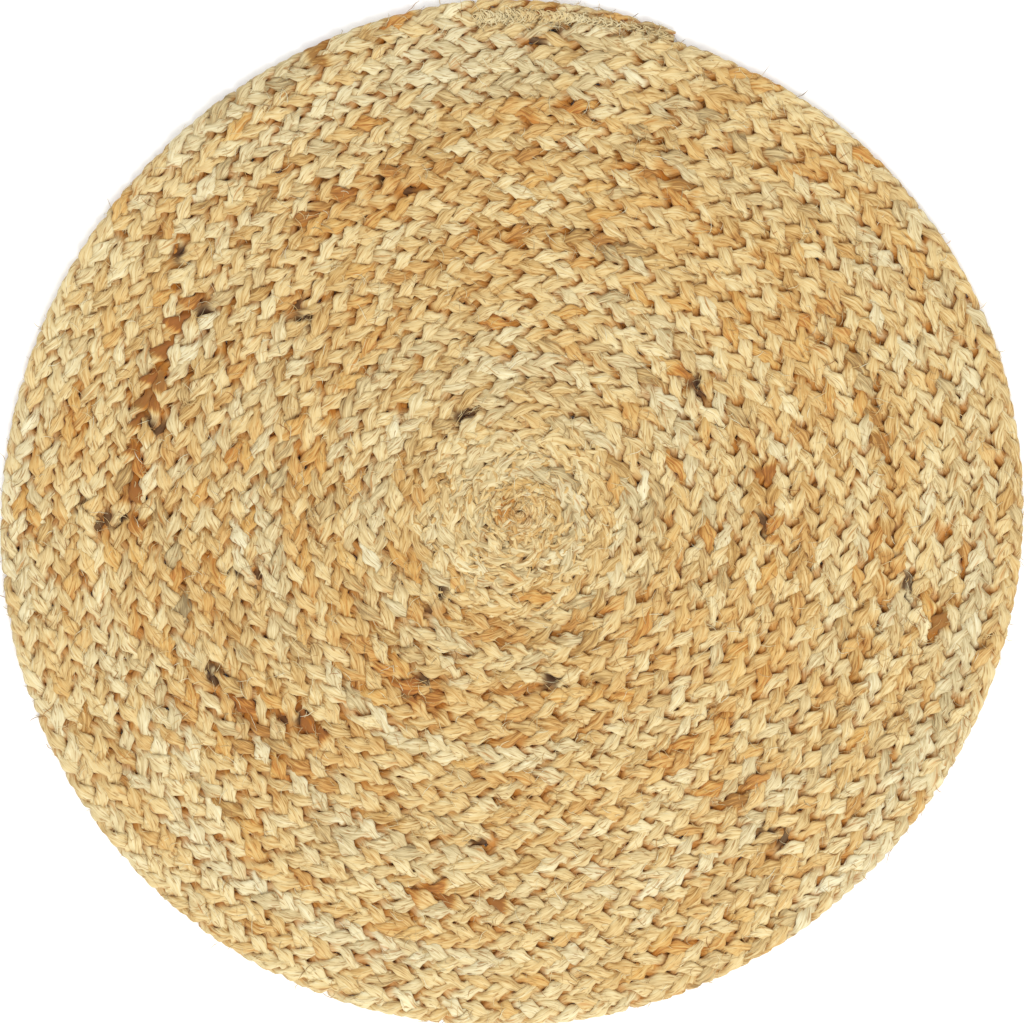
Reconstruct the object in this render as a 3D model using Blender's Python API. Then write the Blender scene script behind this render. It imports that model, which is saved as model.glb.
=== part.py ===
"""A round rug of plaited jute, wound flat from its centre and laced to itself.

One long flat plait of three strands is coiled clockwise, seen from above. Each strand is
fed with one length of jute after another, so it is a row of lengths that meet end to end,
and the joins of the three strands are staggered. A sewing thread runs in the seam between
the turns, the first end of the plait is knotted into the eye of the coil, and the last end
tapers and is held down with zigzag stitches.

Here each length is the lane of the plait that its strand fills: as wide as a third of the
plait, as high as the whole plait, and flat underneath where the rug rests on the floor.
"""
from math import cos, floor, pi, sin, sqrt, tau

import bmesh
import bpy
from mathutils import Vector

# Driving dimensions, in metres
RUG_DIAMETER = 0.600            # across the coil, measured to the middle of its last step
PLAIT_THICKNESS = 0.009
STRAND_WIDTH = 0.0042           # the lane of one strand in the plait
LACING_THREAD = 0.0012          # thickness of the thread in the seam
STITCH_THREAD = 0.0010          # thickness of the thread over the tail
STITCH_WAVE = 0.0160            # along the tail, from one zigzag to the next
STITCH_REACH = 0.0060           # across, from the seam to where the thread turns back
TAIL_LENGTH = 0.120             # the stretch over which the last end narrows
TAIL_TIP_STRAND = 0.0014        # width of one strand at the tip
TAIL_TIP_THICKNESS = 0.0060
CLEARANCE = 0.0003              # between faces that touch

# Proportions, counts and directions
OVALITY = 0.0145                # the coil is drawn slightly oval as it is laced
OVAL_AXIS = 40 / 360 * tau      # the long way of the oval, counterclockwise from +X
TAIL_ANGLE = 72 / 360 * tau     # where the tip lies, counterclockwise from +X
STRANDS = "abc"                 # from the inner edge of the plait to the outer one
LENGTHS_PER_STRAND = 12
THREAD_LENGTHS = 6
FINE_FROM_TURN = 3              # turns outside this one are large and take more stations
STATIONS_PER_TURN_INSIDE = 12
STATIONS_PER_TURN_OUTSIDE = 24
KNOT_FIRST_STATION = 2          # the eye is too narrow for the knot before this station
POINTS_PER_STITCH_WAVE = 8

# What follows from them
PLAIT_WIDTH = len(STRANDS) * STRAND_WIDTH + (len(STRANDS) - 1) * CLEARANCE
SEAM = LACING_THREAD + 2 * CLEARANCE
PITCH = PLAIT_WIDTH + SEAM
START_RADIUS = PITCH / 2
END_RADIUS = RUG_DIAMETER / 2 + PITCH / 2 - PLAIT_WIDTH / 2
TURNS = (END_RADIUS - START_RADIUS) / PITCH
TAIL_TURNS = TAIL_LENGTH / (tau * END_RADIUS)
INNER_EDGE = -PLAIT_WIDTH / 2   # across the plait, outwards from its centre line

# Colours of dry jute, as linear red, green and blue
STRAND_COLOURS = {"a": (0.64, 0.43, 0.19), "b": (0.70, 0.50, 0.25), "c": (0.58, 0.37, 0.15)}
THREAD_COLOUR = (0.72, 0.54, 0.30)
KNOT_COLOUR = (0.45, 0.25, 0.09)


def clear_scene():
    """Remove everything that a new file starts with."""
    for old in list(bpy.data.objects):
        bpy.data.objects.remove(old, do_unlink=True)


def make_material(name, colour, roughness):
    """A plain dry fibre finish."""
    material = bpy.data.materials.new(name)
    material.use_nodes = True
    shader = material.node_tree.nodes["Principled BSDF"]
    shader.inputs["Base Color"].default_value = (*colour, 1.0)
    shader.inputs["Roughness"].default_value = roughness
    shader.inputs["Metallic"].default_value = 0.0
    return material


def direction(turn):
    """Angle of the plait at a number of turns from its start; it winds clockwise."""
    return TAIL_ANGLE + (TURNS - turn) * tau


def on_spiral(turn, across):
    """Plan position of a point of the plait, at a distance across from its centre line."""
    angle = direction(turn)
    oval = 1 + OVALITY * cos(2 * (angle - OVAL_AXIS))
    radius = (START_RADIUS + PITCH * turn + across) * oval
    return Vector((radius * cos(angle), radius * sin(angle), 0))


def stations_per_turn(turn):
    """How many straight stretches the turn of this place has."""
    return STATIONS_PER_TURN_OUTSIDE if turn >= FINE_FROM_TURN else STATIONS_PER_TURN_INSIDE


def on_plait(turn, across, grid_turn=None):
    """Plan position on the straight stretch between two stations.

    All turns have their stations at the same angles, so their sides stay parallel.
    """
    per_turn = stations_per_turn(turn if grid_turn is None else grid_turn)
    before = floor(turn * per_turn + 1e-9)
    share = turn * per_turn - before
    first = on_spiral(before / per_turn, across)
    last = on_spiral((before + 1) / per_turn, across)
    return first.lerp(last, max(share, 0.0))


def stations(first, last, grid_offset=0):
    """Places along the plait from first to last: both ends and every station between."""
    places = [first]
    ticks = int(ceil_turns(last) * STATIONS_PER_TURN_OUTSIDE)
    for tick in range(ticks):
        turn = tick / STATIONS_PER_TURN_OUTSIDE
        step = STATIONS_PER_TURN_OUTSIDE // stations_per_turn(turn + grid_offset)
        if tick % step == 0 and first < turn < last:
            places.append(turn)
    tail_start = TURNS - TAIL_TURNS
    if first < tail_start < last:
        places.append(tail_start)
    places.append(last)
    return sorted(places)


def ceil_turns(turn):
    """The whole number of turns that reaches past this place."""
    return floor(turn) + 1


def length_to(turn):
    """Length of the centre line from the start of the plait."""
    return tau * (START_RADIUS * turn + PITCH * turn * turn / 2)


def turn_at(length):
    """The place at a length along the centre line; the reverse of length_to."""
    return (sqrt(START_RADIUS ** 2 + PITCH * length / pi) - START_RADIUS) / PITCH


def tail_share(turn):
    """0 along the plait, rising to 1 at the tip of the tail."""
    return max(0.0, 1 - (TURNS - turn) / TAIL_TURNS)


def between(start, end, share):
    """A size on its way from one value to another."""
    return start + (end - start) * share


def strand_edges(turn, lane):
    """Inner and outer side of a strand's lane, across the plait."""
    width = between(STRAND_WIDTH, TAIL_TIP_STRAND, tail_share(turn))
    inner = INNER_EDGE + lane * (width + CLEARANCE)
    return inner, inner + width


def top_height(turn):
    """Height of the plait above the floor."""
    return between(PLAIT_THICKNESS, TAIL_TIP_THICKNESS, tail_share(turn))


def raised(plan, height):
    """The same plan position at a height."""
    return Vector((plan.x, plan.y, height))


def loft(name, rings, material, frame):
    """A closed solid through rings of equal numbers of corners, with a cap at each end."""
    shape = bmesh.new()
    rows = [[shape.verts.new(corner) for corner in ring] for ring in rings]
    count = len(rings[0])
    for row, following in zip(rows, rows[1:]):
        for i in range(count):
            j = (i + 1) % count
            shape.faces.new((row[i], row[j], following[j], following[i]))
    shape.faces.new(reversed(rows[0]))
    shape.faces.new(rows[-1])
    return make_object(name, shape, material, frame)


def make_object(name, shape, material, frame):
    """Turn a finished bmesh into a named sub-part that hangs from the rug's frame."""
    bmesh.ops.recalc_face_normals(shape, faces=shape.faces)
    if shape.calc_volume(signed=True) < 0:
        bmesh.ops.reverse_faces(shape, faces=shape.faces)
    mesh = bpy.data.meshes.new(name)
    shape.to_mesh(mesh)
    shape.free()
    mesh.materials.append(material)
    piece = bpy.data.objects.new(name, mesh)
    bpy.context.scene.collection.objects.link(piece)
    piece.parent = frame
    return piece


def make_strand_length(name, lane, first, last, material, frame):
    """One length of jute in its lane, from join to join."""
    rings = []
    for turn in stations(first, last):
        inner, outer = strand_edges(turn, lane)
        low = (on_plait(turn, inner), on_plait(turn, outer))
        top = top_height(turn)
        rings.append([low[0], low[1], raised(low[1], top), raised(low[0], top)])
    return loft(name, rings, material, frame)


def half_gap(turn):
    """Half the clearance at a join, as a part of a turn."""
    return CLEARANCE / 2 / (tau * (START_RADIUS + PITCH * turn))


def make_strand(lane, letter, frame):
    """A strand: its lengths of jute, end to end, with joins staggered against the others."""
    whole = length_to(TURNS)
    step = whole / LENGTHS_PER_STRAND
    shift = lane / len(STRANDS)
    joins = [turn_at((n - shift) * step) for n in range(1, LENGTHS_PER_STRAND)]
    starts = [0.0] + [turn + half_gap(turn) for turn in joins]
    ends = [turn - half_gap(turn) for turn in joins] + [TURNS]
    material = make_material(f"jute_strand_{letter}", STRAND_COLOURS[letter], 0.85)
    for number, (first, last) in enumerate(zip(starts, ends), start=1):
        make_strand_length(f"strand_{letter}_{number:02d}", lane, first, last, material, frame)


def make_lacing(frame):
    """The sewing thread in the seam, half way up the plait, in the lengths it was sewn with."""
    material = make_material("lacing_thread", THREAD_COLOUR, 0.8)
    across = PLAIT_WIDTH / 2 + SEAM / 2
    middle = PLAIT_THICKNESS / 2
    reach = LACING_THREAD / 2
    start = 1 / STATIONS_PER_TURN_INSIDE
    end = TURNS - 1
    step = (length_to(end) - length_to(start)) / THREAD_LENGTHS
    for number in range(THREAD_LENGTHS):
        first = turn_at(length_to(start) + number * step)
        last = turn_at(length_to(start) + (number + 1) * step)
        first = first + half_gap(first)
        last = last - half_gap(last)
        rings = []
        for turn in stations(first, last, grid_offset=1):
            centre = on_plait(turn, across, turn + 1)
            side = on_plait(turn, across + reach, turn + 1) - centre
            low = raised(centre - side, middle - reach)
            high = raised(centre - side, middle + reach)
            rings.append([low, raised(centre + side, middle), high])
        loft(f"lacing_thread_{number + 1}", rings, material, frame)


def make_centre_knot(frame):
    """The knotted first end of the plait, which fills the eye inside the first turn."""
    across = INNER_EDGE - CLEARANCE
    ticks = range(KNOT_FIRST_STATION, STATIONS_PER_TURN_INSIDE)
    outline = [on_spiral(tick / STATIONS_PER_TURN_INSIDE, across) for tick in ticks]
    angle = direction(0)
    clear_of_start = Vector((-sin(angle), cos(angle), 0)) * CLEARANCE
    outline.append(on_spiral(1, across) + clear_of_start)
    outline.append(clear_of_start)
    rings = [outline, [raised(corner, PLAIT_THICKNESS) for corner in outline]]
    loft("centre_knot", rings, make_material("centre_knot", KNOT_COLOUR, 0.9), frame)


def make_tail_stitching(frame):
    """Zigzag stitches along the seam of the tail, on top of the plait."""
    bottom = PLAIT_THICKNESS + CLEARANCE
    waves = TAIL_LENGTH / STITCH_WAVE
    count = round(waves * POINTS_PER_STITCH_WAVE)
    points = []
    for number in range(count + 1):
        share = number / count
        across = INNER_EDGE - SEAM / 2 + STITCH_REACH * sin(share * waves * tau)
        points.append(on_plait(between(TURNS - TAIL_TURNS, TURNS, share), across))
    rings = []
    for number, centre in enumerate(points):
        along = points[min(number + 1, count)] - points[max(number - 1, 0)]
        side = Vector((-along.y, along.x, 0)).normalized() * STITCH_THREAD / 2
        top = raised(centre, bottom + STITCH_THREAD)
        rings.append([raised(centre - side, bottom), raised(centre + side, bottom), top])
    loft("tail_stitching", rings, make_material("stitching", THREAD_COLOUR, 0.8), frame)


def centre_on_origin(frame):
    """Move the rug so that the middle of its outline lies over the origin."""
    corners = [v.co for piece in bpy.data.objects if piece.type == "MESH" for v in piece.data.vertices]
    for axis in (0, 1):
        values = [corner[axis] for corner in corners]
        frame.location[axis] = -(min(values) + max(values)) / 2


def build_rug():
    """All the sub-parts of the rug."""
    clear_scene()
    frame = bpy.data.objects.new("rug_frame", None)
    bpy.context.scene.collection.objects.link(frame)
    for lane, letter in enumerate(STRANDS):
        make_strand(lane, letter, frame)
    make_lacing(frame)
    make_centre_knot(frame)
    make_tail_stitching(frame)
    centre_on_origin(frame)


build_rug()
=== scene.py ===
# %% [markdown]
# # A round rug of plaited jute
#
# The real rug is one long flat plait of three jute strands, coiled from the centre and laced
# to itself with thread. The packed model holds the strands, the thread and both ends of the
# plait as plain solids. This lesson gives each of them its real look: strands that pass over
# and under each other, a curled-in middle and a stitched tail. Then it lays slivers and
# stray fibres on top.

# %% Load the frame
import math

import bpy
import numpy as np
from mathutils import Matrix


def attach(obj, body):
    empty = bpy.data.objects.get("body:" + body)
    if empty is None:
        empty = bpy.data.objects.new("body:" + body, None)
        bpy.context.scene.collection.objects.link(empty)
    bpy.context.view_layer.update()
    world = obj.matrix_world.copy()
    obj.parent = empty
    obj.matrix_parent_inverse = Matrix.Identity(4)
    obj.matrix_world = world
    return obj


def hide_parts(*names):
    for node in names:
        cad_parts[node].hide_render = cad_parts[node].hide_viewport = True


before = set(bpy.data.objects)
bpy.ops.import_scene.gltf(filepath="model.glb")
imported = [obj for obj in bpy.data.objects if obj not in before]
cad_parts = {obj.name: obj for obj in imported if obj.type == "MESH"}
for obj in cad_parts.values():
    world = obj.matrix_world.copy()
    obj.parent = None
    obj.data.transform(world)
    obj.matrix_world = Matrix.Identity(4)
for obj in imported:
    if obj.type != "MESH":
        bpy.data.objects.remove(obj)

MM = 0.001
TAU = 2 * math.pi
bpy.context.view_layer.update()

# %% [markdown]
# ## The coil
#
# The plait is wound clockwise, seen from above, so the angle falls while the radius grows by
# one pitch in each turn. A coil of real plait is never quite round: lacing draws it slightly
# oval. It could be drawn as a curve object, but then nothing else could ask where the plait
# is. One function is better: it gives the place of any point from two numbers, how many
# turns along and how far across, and every piece that follows the plait uses it.

# %% Sizes of the coil
PLAIT_WIDTH = 13.2 * MM
SEAM = 1.8 * MM
PITCH = PLAIT_WIDTH + SEAM
PLAIT_THICKNESS = 9.0 * MM
START_RADIUS = PITCH / 2
END_RADIUS = 300 * MM + PITCH / 2 - PLAIT_WIDTH / 2
TURNS = (END_RADIUS - START_RADIUS) / PITCH
TAIL_ANGLE = math.radians(72)
TAIL_TURNS = 120 * MM / (TAU * END_RADIUS)
TAIL_TIP_WIDTH = 4.8 * MM
TAIL_TIP_THICKNESS = 6.0 * MM
OVALITY = 0.0145
OVAL_AXIS = math.radians(40)
print("turns:", round(TURNS, 2), " pitch, mm:", round(PITCH / MM, 2))


# %% Places along the coil
def coil_point(turn, across):
    """Plan position of points that lie across from the plait's centre line."""
    angle = TAIL_ANGLE + (TURNS - turn) * TAU
    oval = 1 + OVALITY * np.cos(2 * (angle - OVAL_AXIS))
    radius = (START_RADIUS + PITCH * turn + across) * oval
    return CENTRE[0] + radius * np.cos(angle), CENTRE[1] + radius * np.sin(angle)


def length_to(turn):
    """Length of the centre line from the first end of the plait."""
    return TAU * (START_RADIUS * turn + PITCH * turn ** 2 / 2)


def turn_at(length):
    """The reverse of length_to, which also runs on a little before the first end."""
    inside = np.maximum(START_RADIUS ** 2 + PITCH * length / math.pi, 0)
    return (np.sqrt(inside) - START_RADIUS) / PITCH


def tail_share(turn):
    """0 along the plait, rising to 1 at the tip of the tail."""
    return np.clip(1 - (TURNS - turn) / TAIL_TURNS, 0, 1)


CENTRE = (0.0, 0.0)
STEPS_PER_TURN = 24
first_step = TURNS // 1 * STEPS_PER_TURN - 2 * STEPS_PER_TURN
rim_turns = np.arange(first_step, TURNS * STEPS_PER_TURN // 1 + 1) / STEPS_PER_TURN
rim_turns = np.append(rim_turns, TURNS - TAIL_TURNS)
tip = tail_share(rim_turns)
rim = coil_point(rim_turns, PLAIT_WIDTH / 2 - (PLAIT_WIDTH - TAIL_TIP_WIDTH) * tip)
CENTRE = tuple(-(line.min() + line.max()) / 2 for line in rim)
LENGTH = length_to(TURNS)
print("plait length, m:", round(LENGTH, 2))
print("centre of the coil, mm:", [round(c / MM, 1) for c in CENTRE])

# %% [markdown]
# ## Chance that repeats
#
# Hand work varies: no two crossings of the plait are alike. The variation has to be the same
# in every run, so it comes from seeded random numbers. `wander` gives a smooth random line
# along the plait, for slow changes; `per_float` gives each float of a strand, the stretch
# that lies on top between two crossings, a value of its own. The first number of each call
# is its seed.

# %% Random lines
RANDOM_SPREAD = 0.5
MOST_FLOATS = 2000


def eased(share):
    """A share from 0 to 1 that starts and ends gently."""
    share = np.clip(share, 0, 1)
    return share * share * (3 - 2 * share)


def wander(seed, places, spacing, columns=None):
    """Smooth random values about 0 that change over a spacing along the plait."""
    knots = int(LENGTH / spacing) + 8
    shape = knots if columns is None else (knots, columns)
    values = np.random.default_rng(seed).normal(0, RANDOM_SPREAD, shape)
    position = places / spacing + 3
    before = np.floor(position).astype(int)
    share = eased(position - before)
    if columns is not None:
        share = share[:, None]
    return values[before] * (1 - share) + values[before + 1] * share


def per_float(seed, phase, sharpness=1.0):
    """Random values about 0, one for each float, blended where the strand is underneath."""
    values = np.random.default_rng(seed).normal(0, RANDOM_SPREAD, MOST_FLOATS)
    position = (phase - math.pi / 4) / math.pi + 12
    before = np.floor(position).astype(int)
    share = eased((position - before - 0.5) * sharpness + 0.5)
    return values[before] * (1 - share) + values[before + 1] * share


print("a line that wanders:", np.round(wander(11, np.linspace(0, 0.3, 7), 60 * MM), 2))

# %% [markdown]
# ## The plait
#
# In a flat plait of three, every strand swings from one edge to the other and back, a third
# of a period behind the next. Across, that is a sine. It goes over one strand and under the
# other in each half, so its height is a sine of twice the phase. The strands are soft: where
# one lies on top it spreads flat, at an edge it stands upright, and in the middle it is
# squeezed between the other two. So the section is a flattened oval that changes its tilt
# and size along the way. A bevelled curve keeps one section all along, so the points are
# calculated here.

# %% Hollows
# Where a strand was pulled tight, one float sinks and leaves a hollow, painted with dark shade.
# Each has its radius in mm and its angle in degrees.
HOLLOWS = (
    (119, 238), (237, 308), (145, 354), (131, 37), (220, 147), (251, 142), (172, 137),
    (214, 111), (255, 179), (233, 180), (168, 190), (67, 119), (64, 223), (173, 223),
    (202, 207), (233, 349), (96, 282), (290, 86), (188, 262), (226, 166),
)
HOLLOW_REACH = 6.5 * MM
HOLLOW_DEPTH = 3.6 * MM
HOLLOW_LENGTH = 9 * MM
PERIOD = 49.5 * MM


def turn_near(radius, angle):
    """The turn at which the plait passes nearest to a radius, at an angle."""
    rough = (radius / (1 + OVALITY * math.cos(2 * (angle - OVAL_AXIS))) - START_RADIUS) / PITCH
    exact = TURNS - (angle - TAIL_ANGLE) / TAU
    return min(exact + round(rough - exact), TURNS - 0.02)


def sunk_float(strand, places, phase):
    """1 at the top of each float of this strand that has sunk into a hollow, else 0."""
    sunk = np.zeros(len(places))
    for number, (radius, angle) in enumerate(HOLLOWS):
        place = length_to(turn_near(radius * MM, math.radians(angle)))
        near = np.abs(places - place) < PERIOD / 4
        if number % 3 == strand and near.any():
            top = places[near][np.argmax(np.sin(2 * phase[near]))]
            sunk = np.maximum(sunk, eased(1.2 - np.abs(places - top) / HOLLOW_LENGTH))
    return sunk


def hollow_share(points):
    """Share of painted dark shade: 1 in the middle of a hollow, fading to 0 around it."""
    share = np.zeros(points.shape[:2])
    for radius, angle in HOLLOWS:
        way = np.array([math.cos(math.radians(angle)), math.sin(math.radians(angle))])
        away = points[:, :, :2] - (np.array(CENTRE) + radius * MM * way)
        share = np.maximum(share, np.exp(-((away ** 2).sum(-1) / HOLLOW_REACH ** 2) ** 2))
    return share


print("hollows:", len(HOLLOWS), " depth, mm:", HOLLOW_DEPTH / MM)


# %% Path of a strand
SWING = 5.1 * MM
RISE = 1.85 * MM
MID_HEIGHT = PLAIT_THICKNESS / 2
MIDDLE_REACH = 85 * MM
MIDDLE_FADE = 45 * MM
MIDDLE_FLATNESS = 0.55
TOGETHER_VARIES = 0.55
ALONE_VARIES = 0.45
SWING_VARIES = 0.20
HEIGHT_VARIES = 0.65 * MM


def strand_phase(strand, places):
    """How far each place is through the strand's swing, in radians."""
    together = TOGETHER_VARIES * wander(11, places, 60 * MM)
    alone = ALONE_VARIES * wander(21 + strand, places, 30 * MM)
    return TAU * (places / PERIOD + strand / 3) + together + alone


def strand_path(strand, places, phase):
    """Across and height of the strand's centre line."""
    swing = SWING * (1 + SWING_VARIES * per_float(31 + strand, phase))
    across = swing * np.sin(phase) + 0.5 * MM * wander(12, places, 80 * MM)
    across = across + 0.8 * MM * wander(14 + strand, places, 15 * MM)
    radius = START_RADIUS + PITCH * turn_at(places)
    flat = MIDDLE_FLATNESS * eased((MIDDLE_REACH - radius) / MIDDLE_FADE)
    height = RISE * np.sin(2 * phase) + HEIGHT_VARIES * per_float(41 + strand, phase)
    height = MID_HEIGHT + height * (1 - flat)
    return across, height - HOLLOW_DEPTH * sunk_float(strand, places, phase)


print("strand floats on one face:", 3 * 2 * int(LENGTH / PERIOD))


# %% Section of a strand
# Each pair is half the width and half the thickness: on top, underneath, at the edge of the
# plait and where the strand crosses its middle.
FLOAT_HALF = (6.1 * MM, 2.75 * MM)
UNDER_HALF = (8.4 * MM, 2.7 * MM)
EDGE_HALF = (3.3 * MM, 2.4 * MM)
CROSS_HALF = (3.6 * MM, 2.6 * MM)
SQUARENESS = 2.1
LIES_FLAT = 0.6
SHARPNESS_OF_FLOAT = 1.5
WIDTH_VARIES, THICKNESS_VARIES, TILT_VARIES = 0.26, 0.16, 0.30
SUNK_NARROWS = 0.45
TILT_MEAN, TILT_SWING, TILT_RIPPLE = -90, 138.6, 11.4


def strand_section(strand, places, phase, around):
    """Reach of the surface from the centre line, for each place and direction around it."""
    over = np.maximum(np.sin(2 * phase), 0) ** SHARPNESS_OF_FLOAT
    under = np.maximum(-np.sin(2 * phase), 0)
    outside = np.sin(phase) ** 2
    sizes = []
    for way in (0, 1):
        between = EDGE_HALF[way] * outside + CROSS_HALF[way] * (1 - outside)
        size = between * (1 - over - under) + FLOAT_HALF[way] * over + UNDER_HALF[way] * under
        sizes.append(size)
    width = sizes[0] * (1 + WIDTH_VARIES * per_float(51 + strand, phase))
    width = width * (1 - SUNK_NARROWS * sunk_float(strand, places, phase))
    thickness = sizes[1] * (1 + THICKNESS_VARIES * per_float(54 + strand, phase))
    tilt = TILT_MEAN + TILT_SWING * np.cos(phase) + TILT_RIPPLE * np.cos(3 * phase)
    tilt = np.radians(tilt)
    level = math.pi * np.round(tilt / math.pi)
    tilt = level + (tilt - level) * (1 - LIES_FLAT * (over + under))
    tilt = tilt + TILT_VARIES * per_float(57 + strand, phase)
    facing = around - tilt[:, None]
    long_way = np.abs(np.cos(facing)) / width[:, None]
    short_way = np.abs(np.sin(facing)) / thickness[:, None]
    return (long_way ** SQUARENESS + short_way ** SQUARENESS) ** (-1 / SQUARENESS)


print("width and thickness of a float, mm:", [round(2 * half / MM, 1) for half in FLOAT_HALF])

# %% [markdown]
# ## Meshes from rows of rings
#
# All the long pieces are tubes: rings of points, one after another, joined by four-sided
# faces. Adding faces one at a time is slow with so many, so the arrays go into the mesh
# whole. Each tube gets two UV maps. "fibre" holds real distances, along the tube and around
# it, which the fibre pattern uses. "OFBake" lays the tube out in rows that fill the square,
# which is where the finished colours can be stored without waste.

# %% Faces and maps of a tube
MAP_EDGE = 0.0015


def ring_faces(rings, sides):
    """Faces of a tube of rings, each with its ring and side, and two flat ends."""
    ring = np.arange(rings - 1)[:, None]
    side = np.arange(sides)[None, :]
    after = (side + 1) % sides
    corners = [ring * sides + side, ring * sides + after]
    corners += [(ring + 1) * sides + after, (ring + 1) * sides + side]
    walls = np.stack([c + 0 * corners[0] for c in corners], -1).reshape(-1, 4)
    i = np.arange(sides // 2 - 1)
    end = np.stack([i, i + 1, sides - 2 - i, sides - 1 - i], -1)
    first, last = end[:, ::-1], end + (rings - 1) * sides
    return np.concatenate([walls, first, last])


def tube_maps(rings, sides, along, girth, rows):
    """The two UV maps of a tube, for each corner of ring_faces."""
    ring = np.repeat(np.arange(rings - 1), sides)
    side = np.tile(np.arange(sides), rings - 1)
    step = np.array([0, 0, 1, 1])
    turn = np.array([0, 1, 1, 0])
    rings_at, sides_at = ring[:, None] + step, side[:, None] + turn
    fibre = np.stack([along[rings_at], girth * sides_at / sides], -1)
    per_row = math.ceil((rings - 1) / rows)
    row = (ring // per_row)[:, None]
    u = MAP_EDGE + (1 - 2 * MAP_EDGE) * (rings_at - row * per_row) / per_row
    v = (row + MAP_EDGE * rows + (1 - 2 * MAP_EDGE * rows) * sides_at / sides) / rows
    stored = np.stack([u, v], -1)
    caps = (2 * (sides // 2 - 1), 4, 2)
    fibre = np.concatenate([fibre, np.broadcast_to(fibre[:1], caps)])
    return fibre, np.concatenate([stored, np.broadcast_to(stored[:1], caps)])


print("faces of a tube of 10 rings with 8 sides:", len(ring_faces(10, 8)))


# %% A mesh from arrays
def mesh_piece(name, points, faces, values, maps, material):
    """An object from arrays: points, four-sided faces, a value per point, UV maps."""
    mesh = bpy.data.meshes.new(name)
    mesh.vertices.add(len(points))
    mesh.vertices.foreach_set("co", points.astype(np.float32).ravel())
    mesh.loops.add(faces.size)
    mesh.loops.foreach_set("vertex_index", faces.astype(np.int32).ravel())
    mesh.polygons.add(len(faces))
    mesh.polygons.foreach_set("loop_start", np.arange(0, faces.size, 4, dtype=np.int32))
    mesh.update(calc_edges=True)
    mesh.polygons.foreach_set("use_smooth", np.ones(len(faces), bool))
    for key, line in values.items():
        layer = mesh.attributes.new(key, "FLOAT", "POINT")
        layer.data.foreach_set("value", line.astype(np.float32).ravel())
    for key, corners in maps.items():
        layer = mesh.uv_layers.new(name=key)
        layer.uv.foreach_set("vector", corners.astype(np.float32).ravel())
    mesh.materials.append(material)
    piece = bpy.data.objects.new(name, mesh)
    bpy.context.scene.collection.objects.link(piece)
    return piece


print("meshes before the first piece:", len(bpy.data.meshes))


# %% Along the tail
def plait_point(strand_turn, across, height):
    """World points of the plait, which narrows and thins along its tail."""
    tail = tail_share(strand_turn)
    narrowing = 1 - tail * (1 - TAIL_TIP_WIDTH / PLAIT_WIDTH)
    thinning = 1 - tail * (1 - TAIL_TIP_THICKNESS / PLAIT_THICKNESS)
    x, y = coil_point(strand_turn, (across + PLAIT_WIDTH / 2) * narrowing - PLAIT_WIDTH / 2)
    return np.stack([x, y, height * thinning], -1)


tail_tip = plait_point(np.array([TURNS]), 0.0, PLAIT_THICKNESS)[0]
print("middle of the tail's tip, on top, mm:", np.round(tail_tip / MM, 1))

# %% [markdown]
# ## One length of a strand
#
# Nineteen metres of strand would be one huge mesh. The real strand isn't one piece either:
# when a bundle of jute runs out, the plaiter lays in the next one and hides the two thin
# ends underneath a crossing. So each strand is twelve lengths, joined where it passes below
# another. Each length is a tube of oval rings. Ridges that run along it are the bundles of
# fibre, made in the mesh because they show at the edges too, and here and there one opens
# into a slit.

# %% Ridges of fibre
SIDES = 24
SECTIONS_PER_PERIOD = 26
RIDGE = 0.22 * MM
SPLIT = 0.5 * MM
SLIT_BEGINS, SLIT_RANGE = 0.75, 0.5


def ridges(strand, places):
    """How far each column of points stands out from, or sinks into, the strand."""
    coarse = wander(61 + strand, places, 14 * MM, SIDES)
    long_run = wander(64 + strand, places, 60 * MM, SIDES)
    opening = wander(67 + strand, places, 11 * MM, SIDES) - SLIT_BEGINS
    slits = np.clip(opening, 0, SLIT_RANGE) / SLIT_RANGE
    return RIDGE * (coarse + 0.7 * long_run) - SPLIT * slits, slits


standing = ridges(0, np.arange(0, 1, 2 * MM))[0]
print("ridges and slits, mm:", round(standing.max() / MM, 2), round(standing.min() / MM, 2))


# %% Where the lengths of a strand meet
LENGTHS_PER_STRAND = 12
LOWEST = 0.75 * math.pi


def strand_joins(strand):
    """Places of the ends of the lengths, moved to where the strand lies underneath."""
    places = np.arange(0, LENGTH, 2 * MM)
    phase = strand_phase(strand, places)
    wanted = (np.arange(1, LENGTHS_PER_STRAND) - strand / 3) * LENGTH / LENGTHS_PER_STRAND
    below = np.round((np.interp(wanted, places, phase) - LOWEST) / math.pi)
    inner = np.interp((below + 0.75) * math.pi, phase, places)
    return np.concatenate([[0], inner, [LENGTH]])


print("lengths of strand a, m:", np.round(np.diff(strand_joins(0)), 2))
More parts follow.
